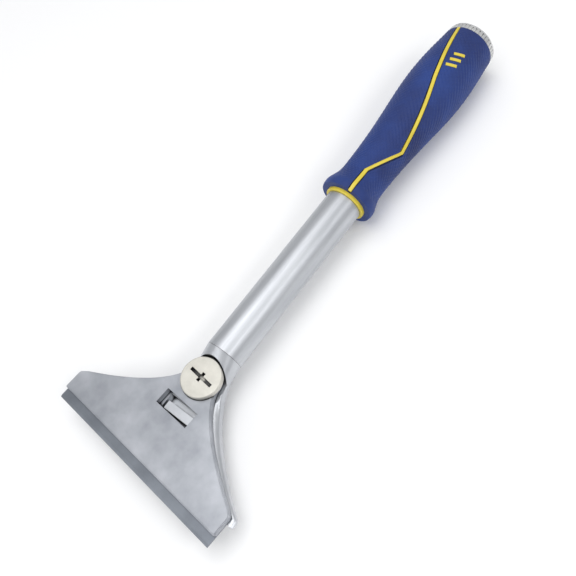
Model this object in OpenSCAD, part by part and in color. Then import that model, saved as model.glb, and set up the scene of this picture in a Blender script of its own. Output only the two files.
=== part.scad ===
// Floor scraper with a clamped 100 mm blade, a straight tube handle and a two-colour soft grip.
// The Z axis is the clamp screw's axis and z = 0 is the flat underside of the head.
// +X runs along the handle towards the butt, +Z is the side that carries the screw.

/* [Blade] */
// Width of the replaceable blade
blade_w = 100; // [80:1:120]
// Depth of the blade from edge to back
blade_depth = 14.5; // [12:0.5:15]
// Thickness of the blade
blade_t = 0.6; // [0.4:0.1:1]
// How far the cutting edge stands out of the cover plate
blade_out = 5; // [3:0.5:7]

/* [Cover plate] */
// Distance from the screw axis to the plate's front edge
plate_reach = 42.5; // [38:0.5:51]
// Height of the plate's top above the blade seat
plate_h = 3.6; // [3:0.1:4.4]
// Length of the straight end of the plate, front to shoulder
plate_end = 10; // [7:0.5:12]
// Angle that the clamped plate and blade sit round from square
clamp_skew = -4.5; // [-5:0.5:0]
// Width of the window in the plate
window_w = 19; // [17:0.5:22]
// Depth of the window, front to back
window_d = 7.6; // [6.5:0.1:8.5]
// Distance from the screw axis to the window's centre
window_reach = 16.4; // [15.6:0.1:17.5]

/* [Head] */
// Height of the blade seat above the head's underside
seat_h = 7.5; // [6.5:0.5:8.5]
// Thickness of the head's front lip under the blade
lip_t = 3.2; // [2.5:0.1:4.5]
// Distance from the screw axis to the seam between neck and tube
neck_end = 14; // [13:0.5:18]
// Radius of the hollow that the screw's disc turns in
pocket_r = 10.2; // [10.2:0.1:10.8]
// Length of the spigot inside the tube
spigot_len = 24; // [18:1:32]

/* [Clamp screw] */
// Diameter of the disc head
disc_d = 19.2; // [16:0.2:19.4]
// Thickness of the disc head
disc_t = 3.2; // [2.4:0.1:4]
// Diameter of the screw's shank
screw_d = 5; // [4:0.5:6]

/* [Handle] */
// Outer diameter of the tube
tube_d = 18; // [15:0.5:20]
// Wall of the tube
tube_wall = 1.2; // [0.8:0.1:1.5]
// Bare length of tube between the neck and the grip
bare_len = 91; // [60:1:120]
// Length of the grip, from its front ring to the cap
grip_len = 109; // [90:1:135]
// Largest radius of the grip
belly_r = 15.5; // [14.5:0.1:18]
// Thickness of the soft panels
skin_t = 1.6; // [1.2:0.1:2]
// Width of the raised line between the soft panels
line_w = 1.8; // [1.4:0.1:2.4]

/* [End cap] */
// Length of cap that shows behind the grip
cap_len = 4.5; // [3:0.5:6]
// Radius of the cap
cap_r = 13.2; // [12:0.1:14]
// Diameter of the cap's plug
plug_d = 9; // [7:0.5:11]

/* [Hidden] */

running = 0.05;     // radial clearance of a shaft that turns in a hole
play = 0.15;        // clearance above and below the clamped blade
gap = 0.3;          // clearance between other faces that move past each other
eps = 0.01;
sides = 96;

tube_r = tube_d / 2;
bore_r = tube_r - tube_wall;
axis_z = tube_r;
blade_z = seat_h + play;
plate_top = seat_h + plate_h;
lip_x = -plate_reach + 2.5;
shoulder_x = -plate_reach + plate_end;
disc_r = disc_d / 2;
washer_t = 0.8;
washer_r = 6.2;
disc_z = plate_top - 0.65;
washer_z = disc_z - washer_t - eps;
clip_t = 0.6;
recess_d = 4.5;     // depth of the hollow round the lug
sole_cut = 0.6;     // depth that is milled off to make the flat sole
plate_floor = seat_h + gap;
clip_z = plate_floor + 0.05;
insert_r = 4;
insert_top = seat_h - 1.6;
screw_tip = 1.4;
grip_x = neck_end + bare_len;
cap_x = grip_x + grip_len;
ring_len = 1.6;
ring_r = tube_r + 1.3;
bush_len = 16;
oring_r = min(0.9, (bore_r - plug_d / 2 - gap) / 2);
pin_r = 1.5;

// ---- outlines ------------------------------------------------------------------------------

// Half width of a flank that sweeps from a shoulder in to a narrow end, as a power curve.
function flank(x, x_end, w_end, x_sh, w_sh, p) =
    w_end + (w_sh - w_end) * pow(max(0, x_end - x) / (x_end - x_sh), p);

function body_half(x) = flank(x, neck_end - 6, tube_r, shoulder_x - 4.5, blade_w / 2 - 0.3, 1.8);
function plate_half(x) = flank(x, 2, disc_r - 1.4, shoulder_x, blade_w / 2, 1.7);

// Rise from 0 to 1 between two stations.
function blend(x, a, b) = min(1, max(0, (x - a) / (b - a)));

// The lesser of two widths, with the corner between them rounded over about k.
function soft_min(a, b, k) = min(a, b) - k * ln(1 + exp(-abs(a - b) / k));

function plate_points() =
    let (steps = 20, x_end = 0, r = disc_r - 1.4)
    concat([[-plate_reach, blade_w / 2 - 0.5], [-plate_reach + 0.5, blade_w / 2]],
        [[shoulder_x - 1.6, blade_w / 2], [shoulder_x - 0.5, blade_w / 2 - 0.4]],
        [for (i = [1 : steps]) let (x = shoulder_x + (x_end - shoulder_x) * i / steps)
            [x, plate_half(x)]],
        [for (a = [75 : -15 : 0]) [r * cos(a), plate_half(0) / r * r * sin(a)]]);

module plate_outline() {
    half = plate_points();
    polygon(concat(half, [for (i = [len(half) - 2 : -1 : 0]) [half[i][0], -half[i][1]]]));
}

// ---- blade ---------------------------------------------------------------------------------

module skewed() {
    rotate([0, 0, clamp_skew]) children();
}

module blade() {
    edge = 1.2;     // width of the ground bevel
    color("slategray") skewed() translate([-plate_reach - blade_out, 0, blade_z])
        rotate([90, 0, 0]) translate([0, 0, -blade_w / 2]) linear_extrude(blade_w)
            polygon([[0, 0], [blade_depth, 0], [blade_depth, blade_t], [edge, blade_t], [0, 0.1]]);
}

// ---- head ----------------------------------------------------------------------------------

// One cross-section of the casting: a squared ellipse that turns into the round neck.
function section(x) =
    let (t = blend(x, lip_x, neck_end),
        w = soft_min(body_half(x), blade_w / 2 - 0.6, 0.5),
        low = (seat_h - lip_t) * (1 - pow(blend(x, lip_x, lip_x + 20), 0.8))
            - sole_cut * blend(x, lip_x, lip_x + 20) * (1 - blend(x, 2, neck_end)),
        high = seat_h + 0.4 + (2 * tube_r - seat_h - 0.4) * pow(blend(x, -6, neck_end), 1.1),
        power = 0.36 + 0.64 * pow(t, 1.6),
        mid = (low + high) / 2,
        half = (high - low) / 2)
    [for (i = [0 : 47]) let (a = i * 7.5, c = cos(a), s = sin(a))
        [x, w * sign(c) * pow(abs(c), power), mid + half * sign(s) * pow(abs(s), power)]];

module casting() {
    steps = 36;
    rows = [for (i = [0 : steps]) section(lip_x + (neck_end - lip_x) * pow(i / steps, 1.5))];
    n = len(rows[0]);
    polyhedron(
        points = [for (r = rows) each r],
        faces = concat(
            [[for (j = [0 : n - 1]) j]],
            [[for (j = [n - 1 : -1 : 0]) steps * n + j]],
            [for (i = [0 : steps - 1], j = [0 : n - 1]) let (k = (j + 1) % n)
                [i * n + k, i * n + j, (i + 1) * n + j]],
            [for (i = [0 : steps - 1], j = [0 : n - 1]) let (k = (j + 1) % n)
                [i * n + k, (i + 1) * n + j, (i + 1) * n + k]]),
        convexity = 6);
}

module lug() {
    lug_w = window_w - 4;
    lug_d = 3.8;
    lug_h = 1.3;
    translate([-window_reach - window_d / 2 + 0.8, -lug_w / 2, seat_h - recess_d - 0.5])
        cube([lug_d, lug_w, recess_d + 0.5 + lug_h]);
}

module head_body() {
    color("silver") difference() {
        union() {
            casting_cut();
            lug();
            along(neck_end - 1) cylinder(r = bore_r - 0.02, h = spigot_len + 1, $fn = sides);
        }
        along(neck_end + 2) cylinder(r = bore_r - 2.2, h = spigot_len, $fn = sides);
        translate([neck_end + spigot_len / 2, 0, axis_z - 30]) cylinder(r = pin_r, h = 30, $fn = 48);
    }
}

module casting_cut() {
    difference() {
        casting();
        translate([lip_x, -blade_w, -5]) cube([neck_end - 1 - lip_x, 2 * blade_w, 5]);
        translate([lip_x - 1, -blade_w, seat_h]) cube([-lip_x + 1 - 6, 2 * blade_w, 30]);
        translate([0, 0, seat_h]) cylinder(r = pocket_r, h = 30, $fn = sides);
        for (a = [clamp_skew - 0.5, 0, 0.5 - clamp_skew]) rotate([0, 0, a])
            translate([0, 0, seat_h]) linear_extrude(30) offset(delta = 2 * gap) plate_outline();
        translate([-window_reach - window_d / 2, -window_w / 2, seat_h - recess_d])
            cube([window_d, window_w, recess_d + 1]);
        translate([0, 0, insert_top]) cylinder(r = insert_r + 1.2, h = 10, $fn = sides);
        translate([0, 0, screw_tip - 0.4]) cylinder(r = insert_r, h = 10, $fn = sides);
    }
}

// ---- clamp ---------------------------------------------------------------------------------

module thread_insert() {
    color("goldenrod") difference() {
        union() {
            translate([0, 0, screw_tip - 0.4]) cylinder(r = insert_r, h = insert_top - 0.6, $fn = sides);
            translate([0, 0, insert_top]) cylinder(r = insert_r + 1.2, h = 0.5, $fn = sides);
        }
        translate([0, 0, screw_tip - 1]) cylinder(r = screw_d / 2 + running, h = 20, $fn = sides);
    }
}

module cover_plate() {
    web = blade_z + blade_t + play;
    color("lightsteelblue") skewed() difference() {
        union() {
            translate([0, 0, plate_floor]) linear_extrude(plate_h - gap - 0.6) plate_outline();
            translate([0, 0, plate_top - 0.6 - eps]) linear_extrude(0.3 + eps)
                offset(delta = -0.25) plate_outline();
            translate([0, 0, plate_top - 0.3 - eps]) linear_extrude(0.3 + eps)
                offset(delta = -0.6) plate_outline();
        }
        translate([-plate_reach - 1, -blade_w, 0])
            cube([blade_depth - blade_out + 1 + gap, 2 * blade_w, web]);
        translate([-window_reach - window_d / 2, -window_w / 2, 0]) cube([window_d, window_w, 20]);
        translate([0, 0, disc_z - 0.02]) cylinder(r = disc_r + gap, h = 10, $fn = sides);
        translate([0, 0, washer_z - eps]) cylinder(r = washer_r + 0.1, h = 10, $fn = sides);
        cylinder(r = screw_d / 2 + running, h = 20, $fn = sides);
        cylinder(r = screw_d / 2 + 1.6, h = plate_floor + clip_t + 0.2, $fn = sides);
    }
}

module clamp_screw() {
    slot_l = 13;
    slot_w = 1.5;
    cross_l = 4.4;
    groove_r = screw_d / 2 - 0.6;
    color("silver") difference() {
        union() {
            translate([0, 0, disc_z + 0.4]) cylinder(r = disc_r, h = disc_t - 0.8, $fn = sides);
            translate([0, 0, disc_z]) cylinder(r1 = disc_r - 0.4, r2 = disc_r, h = 0.4, $fn = sides);
            translate([0, 0, disc_z + disc_t - 0.4])
                cylinder(r1 = disc_r, r2 = disc_r - 0.4, h = 0.4, $fn = sides);
            translate([0, 0, screw_tip]) cylinder(r = screw_d / 2, h = disc_z - screw_tip + 0.1, $fn = sides);
        }
        translate([0, 0, disc_z + disc_t]) rotate([0, 0, 83]) {
            cube([slot_l, slot_w, 4.4], center = true);
            cube([slot_w, cross_l, 5], center = true);
            cube([cross_l, slot_w, 5], center = true);
        }
        translate([0, 0, clip_z]) difference() {
            cylinder(r = screw_d, h = clip_t, $fn = sides);
            translate([0, 0, -1]) cylinder(r = groove_r, h = 3, $fn = sides);
        }
    }
}

module screw_washer() {
    color("gainsboro") translate([0, 0, washer_z]) difference() {
        cylinder(r = washer_r, h = washer_t, $fn = sides);
        translate([0, 0, -1]) cylinder(r = screw_d / 2 + running, h = 4, $fn = sides);
    }
}

module screw_clip() {
    inner = screw_d / 2 - 0.6 + 0.01;
    color("dimgray") translate([0, 0, clip_z + 0.01]) difference() {
        cylinder(r = screw_d / 2 + 1.1, h = clip_t - 0.02, $fn = sides);
        translate([0, 0, -1]) cylinder(r = inner, h = 3, $fn = sides);
        translate([0, -inner, -1]) cube([10, 2 * inner, 3]);
    }
}

// ---- handle --------------------------------------------------------------------------------

// Stands what follows on the handle's axis, turned along it.
module along(x) {
    translate([x, 0, axis_z]) rotate([0, 90, 0]) children();
}

module handle_tube() {
    color("gainsboro") difference() {
        along(neck_end) cylinder(r = tube_r, h = cap_x - neck_end - 0.5, $fn = sides);
        along(neck_end - 1) cylinder(r = bore_r, h = cap_x, $fn = sides);
        translate([neck_end + spigot_len / 2, 0, axis_z - 30]) cylinder(r = pin_r, h = 30, $fn = 48);
    }
}

module tube_pin() {
    color("dimgray") translate([neck_end + spigot_len / 2, 0, axis_z - tube_r + 0.2]) difference() {
        cylinder(r = pin_r, h = tube_wall + 2, $fn = 48);
        translate([0, 0, -1]) cylinder(r = pin_r - 0.7, h = 10, $fn = 48);
    }
}

// Outer radius of the grip at a share s of its length: collar, waist, belly, then the butt.
function grip_r(s) =
    let (collar = 2.6 * exp(-pow((s - 0.035) / 0.055, 2)),
        waist = tube_r + 2.2,
        belly = (belly_r - waist) * exp(-pow((s - 0.74) / 0.33, 2)))
    waist + collar + belly;

function grip_profile(less) =
    let (n = 26, s0 = ring_len / grip_len)
    [for (i = [0 : n]) let (s = s0 + (1 - s0) * i / n) [grip_r(s) - less, s * grip_len]];

module grip_shape(less) {
    along(grip_x) rotate_extrude($fn = 48)
        polygon(concat([[tube_r + 0.02, ring_len]], grip_profile(less),
            [[tube_r + 0.02, grip_len]]));
}

// Path of the raised line over the grip: [share of its length, angle round from the top].
line_path = [[-0.01, -20], [0.134, -18.6], [0.307, -62], [0.68, -13], [1.01, 21]];

// The wall that stands along the path, from the tube out past the belly.
module line_wall(w) {
    steps = 4;
    stations = concat([line_path[0]], [for (i = [0 : len(line_path) - 2], k = [1 : steps])
        line_path[i] + (line_path[i + 1] - line_path[i]) * k / steps]);
    half = asin(w / 2 / belly_r);
    last = len(stations) - 1;
    polyhedron(
        points = [for (p = stations, c = [[-1, 0], [1, 0], [1, 1], [-1, 1]])
            let (r = tube_r + 0.4 + c[1] * (belly_r + 2 - tube_r), a = p[1] + c[0] * half)
            [grip_x + p[0] * grip_len, r * sin(a), axis_z + r * cos(a)]],
        faces = concat(
            [[0, 1, 2, 3]],
            [[for (j = [3 : -1 : 0]) last * 4 + j]],
            [for (i = [0 : last - 1], j = [0 : 3]) let (k = (j + 1) % 4)
                [i * 4 + k, i * 4 + j, (i + 1) * 4 + j]],
            [for (i = [0 : last - 1], j = [0 : 3]) let (k = (j + 1) % 4)
                [i * 4 + k, (i + 1) * 4 + j, (i + 1) * 4 + k]]));
}

module badge_place(i) {
    share = 0.81;
    pitch = 3.8;
    along(grip_x + share * grip_len + pitch * i) rotate([0, 0, 180 + 24])
        translate([grip_r(share) - 0.8, 0, 0]) children();
}

module badge_bar(grow) {
    rotate([0, 90, 0]) rotate([0, 0, 25])
        cube([1.5 + 2 * grow, 5.5 + 2 * grow, 2 + grow], center = true);
}

module grip_core() {
    color("gold") union() {
        difference() {
            union() {
                grip_shape(skin_t);
                along(grip_x) cylinder(r = ring_r, h = ring_len + 0.01, $fn = 64);
                intersection() {
                    grip_shape(0.15);
                    line_wall(line_w);
                }
            }
            along(grip_x - 1) cylinder(r = tube_r + 0.02, h = grip_len + 2, $fn = sides);
            for (i = [-1 : 1]) badge_place(i) badge_bar(0.02);
        }
    }
}

module grip_skin() {
    color("navy") difference() {
        grip_shape(0);
        grip_shape(skin_t - 0.01);
        along(grip_x) cylinder(r = tube_r + skin_t, h = grip_len + 1, $fn = 64);
        line_wall(line_w + 0.7);
        for (i = [-1 : 1]) badge_place(i) badge_bar(0.15);
    }
}

module grip_badge() {
    color("gold") intersection() {
        for (i = [-1 : 1]) badge_place(i) badge_bar(0);
        grip_shape(-0.2);
    }
}

// ---- end cap -------------------------------------------------------------------------------

module butt_bush() {
    color("dimgray") along(cap_x - bush_len - 0.5) difference() {
        cylinder(r = bore_r - 0.02, h = bush_len, $fn = sides);
        translate([0, 0, -1]) cylinder(r = plug_d / 2 + running, h = bush_len + 2, $fn = sides);
        translate([0, 0, bush_len - 2 * oring_r - 0.6])
            cylinder(r = plug_d / 2 + 2 * oring_r + 0.15, h = 5, $fn = sides);
    }
}

module cap_ring() {
    color("black") along(cap_x - 0.5 - oring_r) rotate_extrude($fn = sides)
        translate([plug_d / 2 + oring_r + 0.05, 0]) circle(r = oring_r, $fn = 24);
}

module end_cap() {
    knurls = 40;
    color("silver") along(cap_x) difference() {
        union() {
            translate([0, 0, gap]) cylinder(r = cap_r, h = cap_len - gap - 1, $fn = sides);
            translate([0, 0, cap_len - 1]) cylinder(r1 = cap_r, r2 = cap_r - 1, h = 1, $fn = sides);
            translate([0, 0, -bush_len + 1]) cylinder(r = plug_d / 2, h = bush_len, $fn = sides);
        }
        for (i = [0 : knurls - 1]) rotate([0, 0, i * 360 / knurls])
            translate([cap_r + 0.25, 0, gap - 1]) cylinder(r = 0.7, h = cap_len - 0.9, $fn = 4);
    }
}

blade();
head_body();
thread_insert();
cover_plate();
clamp_screw();
screw_washer();
screw_clip();
handle_tube();
tube_pin();
grip_core();
grip_skin();
grip_badge();
butt_bush();
cap_ring();
end_cap();
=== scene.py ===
import math

import bmesh
import bpy
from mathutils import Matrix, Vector


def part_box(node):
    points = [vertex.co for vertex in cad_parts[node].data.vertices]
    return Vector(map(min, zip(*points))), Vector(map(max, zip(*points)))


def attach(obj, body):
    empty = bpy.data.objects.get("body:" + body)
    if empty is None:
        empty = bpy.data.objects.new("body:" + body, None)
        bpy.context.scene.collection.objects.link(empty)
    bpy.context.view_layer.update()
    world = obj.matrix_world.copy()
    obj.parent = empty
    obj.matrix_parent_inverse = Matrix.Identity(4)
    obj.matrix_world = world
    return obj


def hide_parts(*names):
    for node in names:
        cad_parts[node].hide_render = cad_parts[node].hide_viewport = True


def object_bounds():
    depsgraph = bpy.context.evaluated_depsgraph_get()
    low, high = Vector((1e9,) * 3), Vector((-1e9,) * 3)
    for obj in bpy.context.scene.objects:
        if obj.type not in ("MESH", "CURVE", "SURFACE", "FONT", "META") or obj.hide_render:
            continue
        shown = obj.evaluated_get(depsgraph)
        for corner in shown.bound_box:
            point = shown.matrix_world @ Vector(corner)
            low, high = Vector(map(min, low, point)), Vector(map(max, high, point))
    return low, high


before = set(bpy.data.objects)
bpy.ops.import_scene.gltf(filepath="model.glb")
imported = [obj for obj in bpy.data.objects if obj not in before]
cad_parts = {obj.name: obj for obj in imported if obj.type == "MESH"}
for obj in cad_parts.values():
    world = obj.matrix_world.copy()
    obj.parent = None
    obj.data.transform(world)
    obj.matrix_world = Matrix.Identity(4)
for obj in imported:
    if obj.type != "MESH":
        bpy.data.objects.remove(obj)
cad_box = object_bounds()
MM = 0.001

# The bench: a plain pale top that the tool lies over, lit by a large soft overhead box, a
# long strip on the screw side and a low fill from the blade side. The eye is just above the
# head, on the blade side, with the handle running away from it.
scene = bpy.context.scene
scene.view_settings.view_transform = "Standard"
eye = bpy.data.objects.new("eye", bpy.data.cameras.new("eye"))
scene.collection.objects.link(eye)
eye.location = (-23.7 * MM, -144.3 * MM, 278.1 * MM)
eye.rotation_euler = (math.radians(28.27), math.radians(12.97), math.radians(-52.1))
eye.data.lens = 43.35
eye.data.sensor_width = 36
scene.camera = eye


def soft_box(name, place, aim, width, height, power, tint=(1, 1, 1)):
    """A rectangular studio light at place that faces aim."""
    light = bpy.data.lights.new(name, "AREA")
    light.shape = "RECTANGLE"
    light.size = width
    light.size_y = height
    light.energy = power
    light.color = tint
    lamp = bpy.data.objects.new(name, light)
    lamp.location = place
    lamp.rotation_euler = (Vector(aim) - Vector(place)).to_track_quat("-Z", "Y").to_euler()
    scene.collection.objects.link(lamp)


soft_box("overhead", (0.05, 0.05, 0.9), (0.08, 0, 0), 0.9, 0.6, 3.6)
soft_box("strip", (0.1, -0.6, 0.6), (0.1, 0, 0), 0.9, 0.2, 1.7)
soft_box("fill", (-0.7, 0.3, 0.45), (0.05, 0, 0), 0.5, 0.5, 1.0)
world = bpy.data.worlds.new("studio")
world.use_nodes = True
world.node_tree.nodes["Background"].inputs["Color"].default_value = (0.97, 0.98, 1.0, 1)
world.node_tree.nodes["Background"].inputs["Strength"].default_value = 0.6
scene.world = world


def add_node(tree, kind, **settings):
    """A shader node of that kind, with its properties set."""
    node = tree.nodes.new(kind)
    for key, value in settings.items():
        setattr(node, key, value)
    return node


def coordinates(tree, stretch):
    """Object coordinates through a mapping that stretches the pattern."""
    place = add_node(tree, "ShaderNodeTexCoord")
    mapping = add_node(tree, "ShaderNodeMapping")
    mapping.inputs["Scale"].default_value = stretch
    tree.links.new(place.outputs["Object"], mapping.inputs["Vector"])
    return mapping.outputs["Vector"]


def noise(tree, vector, scale, detail=4, roughness=0.55):
    """The grey value of a noise at that scale, in cycles a metre."""
    node = add_node(tree, "ShaderNodeTexNoise")
    node.inputs["Scale"].default_value = scale
    node.inputs["Detail"].default_value = detail
    node.inputs["Roughness"].default_value = roughness
    tree.links.new(vector, node.inputs["Vector"])
    return node.outputs["Fac"]


def spread(tree, value, low, high, between=(0.3, 0.7)):
    """Maps a grey value to low..high, which are two numbers or two colours."""
    ramp = add_node(tree, "ShaderNodeMapRange")
    ramp.inputs["From Min"].default_value = between[0]
    ramp.inputs["From Max"].default_value = between[1]
    tree.links.new(value, ramp.inputs["Value"])
    if isinstance(low, (int, float)):
        ramp.inputs["To Min"].default_value = low
        ramp.inputs["To Max"].default_value = high
        return ramp.outputs["Result"]
    mix = add_node(tree, "ShaderNodeMix", data_type="RGBA")
    mix.inputs["A"].default_value = (*low, 1)
    mix.inputs["B"].default_value = (*high, 1)
    tree.links.new(ramp.outputs["Result"], mix.inputs["Factor"])
    return mix.outputs["Result"]


def finish_of(name, low, high, metallic, rough, patch=60, grain=2500, stretch=(1, 1, 1), relief=0.02,
              grain_stretch=None, painted_shade_reach=0.0):
    """A material whose colour drifts in patches and whose sheen and bump follow a fine grain.

    The last argument is how far, in millimetres, painted shade (the colour darkened towards near-black by
    ambient occlusion) reaches out of the corners, seams and recesses.
    """
    material = bpy.data.materials.new(name)
    material.use_nodes = True
    tree = material.node_tree
    shader = tree.nodes["Principled BSDF"]
    shader.inputs["Metallic"].default_value = metallic
    patches = noise(tree, coordinates(tree, stretch), patch)
    fine = noise(tree, coordinates(tree, grain_stretch or stretch), grain, 6, 0.6)
    tint = spread(tree, patches, low, high)
    # Painted shade: where ambient occlusion finds corners, seams and recesses, the base colour is mixed
    # towards near-black.
    if painted_shade_reach:
        corner = add_node(tree, "ShaderNodeAmbientOcclusion")
        corner.inputs["Distance"].default_value = painted_shade_reach * MM
        painted_shade_mix = add_node(tree, "ShaderNodeMix", data_type="RGBA")
        painted_shade_mix.inputs["A"].default_value = (0.03, 0.03, 0.034, 1)
        tree.links.new(tint, painted_shade_mix.inputs["B"])
        unshaded_share = spread(tree, corner.outputs["AO"], 0.0, 1.0, (0.42, 0.72))
        tree.links.new(unshaded_share, painted_shade_mix.inputs["Factor"])
        tint = painted_shade_mix.outputs["Result"]
    tree.links.new(tint, shader.inputs["Base Color"])
    tree.links.new(spread(tree, fine, rough[0], rough[1]), shader.inputs["Roughness"])
    bump = add_node(tree, "ShaderNodeBump")
    bump.inputs["Strength"].default_value = 0.6
    bump.inputs["Distance"].default_value = relief * MM
    tree.links.new(fine, bump.inputs["Height"])
    tree.links.new(bump.outputs["Normal"], shader.inputs["Normal"])
    return material


bench = bmesh.new()
bmesh.ops.create_grid(bench, x_segments=2, y_segments=2, size=3)
bmesh.ops.translate(bench, verts=bench.verts, vec=(0.1, 0, cad_box[0][2] - 0.05 * MM))
bench_mesh = bpy.data.meshes.new("bench_top")
bench.to_mesh(bench_mesh)
bench_top = bpy.data.objects.new("bench_top", bench_mesh)
bench_paint = finish_of("bench_paint", (0.95, 0.95, 0.95), (0.97, 0.97, 0.97), 0, (0.8, 0.9), 3, 300)
bench_mesh.materials.append(bench_paint)
scene.collection.objects.link(bench_top)


# Head casting: the flared body, the locating lug, the neck and the spigot in one pressure
# die casting of aluminium alloy, tumbled to a satin skin with its edges worn soft.
def add_piece(name, mesh, body, slot, material, *nodes):
    """Puts a mesh in the scene as a piece that rides on a body and stands for CAD nodes."""
    mesh.materials.clear()
    mesh.materials.append(material)
    piece = bpy.data.objects.new(name, mesh)
    scene.collection.objects.link(piece)
    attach(piece, body)
    if nodes:
        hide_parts(*nodes)
    return piece


def worn_copy(node, name, body, slot, material, soft):
    """A CAD node's shape with its loose triangles joined and its sharp edges rounded over."""
    crease = math.radians(32)
    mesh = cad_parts[node].data.copy()
    shape = bmesh.new()
    shape.from_mesh(mesh)
    bmesh.ops.remove_doubles(shape, verts=shape.verts, dist=0.002 * MM)
    bmesh.ops.dissolve_limit(shape, angle_limit=math.radians(0.1), verts=shape.verts, edges=shape.edges)
    shape.to_mesh(mesh)
    shape.free()
    mesh.shade_smooth()
    mesh.set_sharp_from_angle(angle=crease)
    piece = add_piece(name, mesh, body, slot, material, node)
    if soft:
        rounding = piece.modifiers.new("rounding", "BEVEL")
        rounding.width = soft * MM
        rounding.segments = 2
        rounding.limit_method = "ANGLE"
        rounding.angle_limit = crease
        facing = piece.modifiers.new("facing", "WEIGHTED_NORMAL")
        facing.keep_sharp = True
        facing.weight = 80
    return piece


cast_alloy = finish_of("cast_alloy", (0.48, 0.495, 0.52), (0.60, 0.615, 0.64), 0.95, (0.32, 0.42),
                       patch=70, grain=1800, relief=0.015, painted_shade_reach=2.2)
worn_copy("head_body", "head_casting", "head", "casting", cast_alloy, 0.25)

# Thread insert: a plain brass bush pressed into the casting, which the clamp screw's thread
# runs in. It is turned from bar, so its grain runs round the screw's axis.
turned_brass = finish_of("turned_brass", (0.62, 0.42, 0.16), (0.78, 0.56, 0.26), 1.0, (0.2, 0.34),
                         patch=300, grain=5000, grain_stretch=(1, 1, 9))
worn_copy("thread_insert", "insert_bush", "head", "brass", turned_brass, 0.1)

# Cover plate: the flat fan-shaped casting that holds the blade down, with a cast window over
# the lug. Its face is tumbled to the same satin skin, a little bluer, with cloudy patches.
plate_alloy = finish_of("plate_alloy", (0.28, 0.295, 0.325), (0.50, 0.515, 0.55), 0.8, (0.38, 0.52),
                        patch=48, grain=2600, relief=0.02, painted_shade_reach=1.2)
worn_copy("cover_plate", "clamp_plate", "plate", "casting", plate_alloy, 0.12)

# Blade: a hardened steel strip with a ground bevel. The grinding lines run along the strip's
# width, from the edge back.
ground_steel = finish_of("ground_steel", (0.17, 0.185, 0.21), (0.23, 0.25, 0.28), 0.9, (0.34, 0.48),
                         patch=90, grain=900, grain_stretch=(14, 1, 1), relief=0.006, painted_shade_reach=1.5)
worn_copy("blade", "blade_strip", "blade_body", "blade_steel", ground_steel, 0.03)

# Clamp screw: a large disc head with a coin slot and a small cross, turned from steel and
# plated with warm dull nickel. The washer and the clip that keep it in the plate are steel.
dull_nickel = finish_of("dull_nickel", (0.56, 0.545, 0.49), (0.68, 0.66, 0.60), 0.75, (0.36, 0.5),
                        patch=160, grain=3800, relief=0.012, painted_shade_reach=2.4)
worn_copy("clamp_screw", "disc_screw", "screw", "nickel", dull_nickel, 0.14)
spring_steel = finish_of("spring_steel", (0.2, 0.2, 0.21), (0.32, 0.32, 0.34), 1.0, (0.28, 0.42),
                         patch=300, grain=4200)
worn_copy("screw_washer", "flat_washer", "washer", "spring_steel", spring_steel, 0.08)
worn_copy("screw_clip", "retaining_clip", "screw", "spring_steel", spring_steel, 0.05)
worn_copy("tube_pin", "roll_pin", "head", "spring_steel", spring_steel, 0.1)


# Handle tube: drawn aluminium tube, polished along its length, so the streaks and the faint
# draw marks run from the neck to the butt. It is pushed over the spigot and pinned.
def turned(profile, steps=96):
    """A closed solid turned round the handle's axis from (x, radius) points in millimetres."""
    shape = bmesh.new()
    points = [shape.verts.new((x * MM, 0, (axis_z + r) * MM)) for x, r in profile]
    loop = [shape.edges.new((a, b)) for a, b in zip(points, points[1:] + points[:1])]
    bmesh.ops.spin(shape, geom=points + loop, cent=(0, 0, axis_z * MM), axis=(1, 0, 0),
                   angle=math.tau, steps=steps, use_merge=True)
    bmesh.ops.remove_doubles(shape, verts=shape.verts, dist=0.001 * MM)
    bmesh.ops.recalc_face_normals(shape, faces=shape.faces)
    return shape


def mesh_of(name, shape, crease=30):
    """A smooth-shaded mesh from a bmesh, creased where its faces meet sharply."""
    mesh = bpy.data.meshes.new(name)
    shape.to_mesh(mesh)
    shape.free()
    mesh.shade_smooth()
    mesh.set_sharp_from_angle(angle=math.radians(crease))
    return mesh


tube_low, tube_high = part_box("handle_tube")
axis_z = (tube_low[2] + tube_high[2]) / 2 / MM
tube_r = (tube_high[2] - tube_low[2]) / 2 / MM
tube_from, tube_to = tube_low[0] / MM, tube_high[0] / MM
tube_wall = 1.2
lip = 0.2
tube_shape = turned([
    (tube_from, tube_r - lip), (tube_from + lip, tube_r), (tube_to - lip, tube_r), (tube_to, tube_r - lip),
    (tube_to, tube_r - tube_wall), (tube_from, tube_r - tube_wall)], 128)
drawn_alloy = finish_of("drawn_alloy", (0.46, 0.475, 0.50), (0.62, 0.635, 0.66), 1.0, (0.40, 0.50),
                        patch=60, grain=1400, stretch=(0.25, 3, 3), grain_stretch=(0.03, 1, 1),
                        relief=0.004, painted_shade_reach=0.8)
add_piece("handle_tube_drawn", mesh_of("handle_tube_drawn", tube_shape), "head", "tube_metal", drawn_alloy,
          "handle_tube")

# Grip core: hard yellow plastic moulded over the tube. It shows as the ring at the front and
# as the raised line that bends along the grip between the soft panels.
grip_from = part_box("grip_core")[0][0] / MM
grip_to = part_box("grip_skin")[1][0] / MM
grip_len = grip_to - grip_from
ring_len = 1.6
ring_r = tube_r + 1.3
skin_t = 1.6
line_w = 1.8
belly_r = 15.5
line_path = [(-0.01, -20), (0.134, -18.6), (0.307, -62), (0.68, -13), (1.01, 21)]


def grip_r(share):
    """Outer radius of the grip in millimetres at a share of its length."""
    waist = tube_r + 2.2
    collar = 2.6 * math.exp(-((share - 0.035) / 0.055) ** 2)
    belly = (belly_r - waist) * math.exp(-((share - 0.74) / 0.33) ** 2)
    return waist + collar + belly


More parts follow.
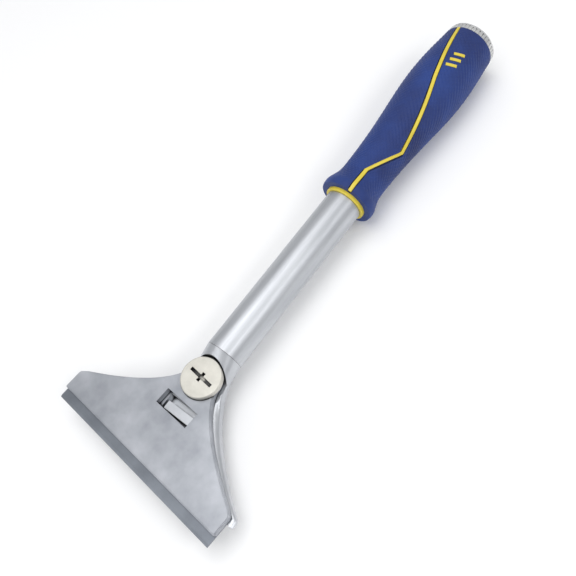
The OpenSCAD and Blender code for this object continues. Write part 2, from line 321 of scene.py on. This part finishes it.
def line_angle(share):
    """Angle of the raised line round the handle, from the top towards +Y, in radians."""
    for (s0, a0), (s1, a1) in zip(line_path, line_path[1:]):
        if share <= s1:
            return math.radians(a0 + (a1 - a0) * (share - s0) / (s1 - s0))
    return math.radians(line_path[-1][1])


def on_handle(x, radius, angle):
    """A point at that distance along, out from and round the handle's axis."""
    return Vector((x * MM, radius * math.sin(angle) * MM, (axis_z + radius * math.cos(angle)) * MM))


def wrapped(rows, columns, place):
    """A grid whose columns close on themselves, laid out by place(row share, column share)."""
    shape = bmesh.new()
    bmesh.ops.create_grid(shape, x_segments=rows, y_segments=columns, size=0.5)
    for vert in shape.verts:
        vert.co = place(vert.co.x + 0.5, vert.co.y + 0.5)
    bmesh.ops.remove_doubles(shape, verts=shape.verts, dist=0.002 * MM)
    return shape


def rib_point(share, turn):
    """A point of the line's rounded section at a share of the grip's length."""
    a = turn * math.tau
    across = max(-1, min(1, 1.35 * math.sin(a))) * line_w / 2
    top = grip_r(share) - 0.1
    height = top - 0.9 + max(-0.9, min(0.9, 1.15 * math.cos(a)))
    return on_handle(grip_from + ring_len + share * (grip_len - ring_len), height,
                     line_angle(share) + across / grip_r(share))


sleeve = [(grip_from, tube_r + 0.05), (grip_from, ring_r - 0.3), (grip_from + 0.3, ring_r),
          (grip_from + ring_len, ring_r)]
sleeve += [(grip_from + (0.03 + 0.96 * i / 40) * grip_len, grip_r(0.03 + 0.96 * i / 40) - skin_t)
           for i in range(41)]
sleeve += [(grip_to - 0.05, tube_r + 0.05)]
core_shape = turned(sleeve, 72)
rib = wrapped(160, 16, rib_point)
bmesh.ops.holes_fill(rib, edges=rib.edges)
bmesh.ops.recalc_face_normals(rib, faces=rib.faces)
rib_mesh = mesh_of("line_rib", rib)
core_shape.from_mesh(rib_mesh)
yellow_plastic = finish_of("yellow_plastic", (0.66, 0.52, 0.045), (0.76, 0.61, 0.07), 0, (0.34, 0.46),
                           patch=120, grain=2600, relief=0.012)
add_piece("grip_core_moulding", mesh_of("grip_core_moulding", core_shape), "head", "yellow_plastic",
          yellow_plastic, "grip_core")
worn_copy("grip_badge", "grip_marks", "head", "yellow_plastic", yellow_plastic, 0.12)

# Soft panels: blue rubber moulded over the core on both sides of the line, with a fine
# diamond pattern cut in the mould. The skin dips into a groove on each side of the line.
pitch = 2.5
ridges = 36
relief = 0.3
groove_half = line_w / 2 + 0.42


def skin_point(share, turn):
    """A point on the patterned skin: fine columns near the line, wide ones under the grip."""
    around = turn * 2 - 1
    swing = math.copysign(0.25 * abs(around) + 0.75 * abs(around) ** 2.2, around) * math.pi
    along = ring_len / grip_len + share * (1 - ring_len / grip_len)
    radius = grip_r(along)
    angle = line_angle(along) + swing
    off_line = abs(swing) * radius
    u = along * grip_len / pitch
    v = ridges * angle / math.tau
    diamond = (abs(math.sin(math.pi * (u + v))) * abs(math.sin(math.pi * (u - v)))) ** 0.6
    ends = min(1, max(0, (along - 0.05) / 0.02)) * min(1, max(0, (0.985 - along) / 0.01))
    edge = min(1, max(0, (off_line - groove_half - 0.5) / 0.4))
    radius += relief * (diamond - 1) * ends * edge
    if off_line < groove_half:
        radius -= skin_t - 0.15
    return on_handle(grip_from + along * grip_len, radius, angle)


def ring_edges(shape, x):
    """The open edges of a shape that lie at that distance along the handle."""
    return [e for e in shape.edges
            if e.is_boundary and all(abs(v.co.x - x * MM) < 0.02 * MM for v in e.verts)]


skin = wrapped(270, 250, skin_point)
inner_rings = []
for x in (grip_from + ring_len, grip_to):
    wall = bmesh.ops.extrude_edge_only(skin, edges=ring_edges(skin, x))["geom"]
    inner = [g for g in wall if isinstance(g, bmesh.types.BMVert)]
    for vert in inner:
        flat = Vector((0, vert.co.y, vert.co.z - axis_z * MM))
        vert.co = Vector((vert.co.x, 0, axis_z * MM)) + flat.normalized() * (tube_r + 1.0) * MM
    inner_rings += [e for e in wall if isinstance(e, bmesh.types.BMEdge) and e.is_boundary]
bmesh.ops.bridge_loops(skin, edges=inner_rings)
bmesh.ops.recalc_face_normals(skin, faces=skin.faces)
blue_rubber = finish_of("blue_rubber", (0.003, 0.015, 0.105), (0.009, 0.046, 0.245), 0, (0.55, 0.72),
                        patch=35, grain=3000, relief=0.02, painted_shade_reach=0.7)
blue_rubber.node_tree.nodes["Principled BSDF"].inputs["Sheen Weight"].default_value = 0.12
blue_rubber.node_tree.nodes["Principled BSDF"].inputs["Sheen Tint"].default_value = (0.5, 0.6, 1, 1)
add_piece("soft_panels", mesh_of("soft_panels", skin, 60), "head", "blue_rubber", blue_rubber, "grip_skin")

# Butt: a steel bush pressed in the tube, a rubber seal and a plated cap with a knurled edge
# that screws into the bush.
worn_copy("butt_bush", "threaded_bush", "head", "spring_steel", spring_steel, 0.1)
seal_rubber = finish_of("seal_rubber", (0.012, 0.012, 0.012), (0.03, 0.03, 0.03), 0, (0.45, 0.6), 200, 3000)
worn_copy("cap_ring", "cap_seal_ring", "cap_seal", "black_rubber", seal_rubber, 0)
plated_cap = finish_of("plated_cap", (0.62, 0.62, 0.62), (0.76, 0.76, 0.75), 0.9, (0.26, 0.38),
                       patch=150, grain=3600, relief=0.01, painted_shade_reach=1.0)
worn_copy("end_cap", "knurled_cap", "cap", "cap_metal", plated_cap, 0.12)
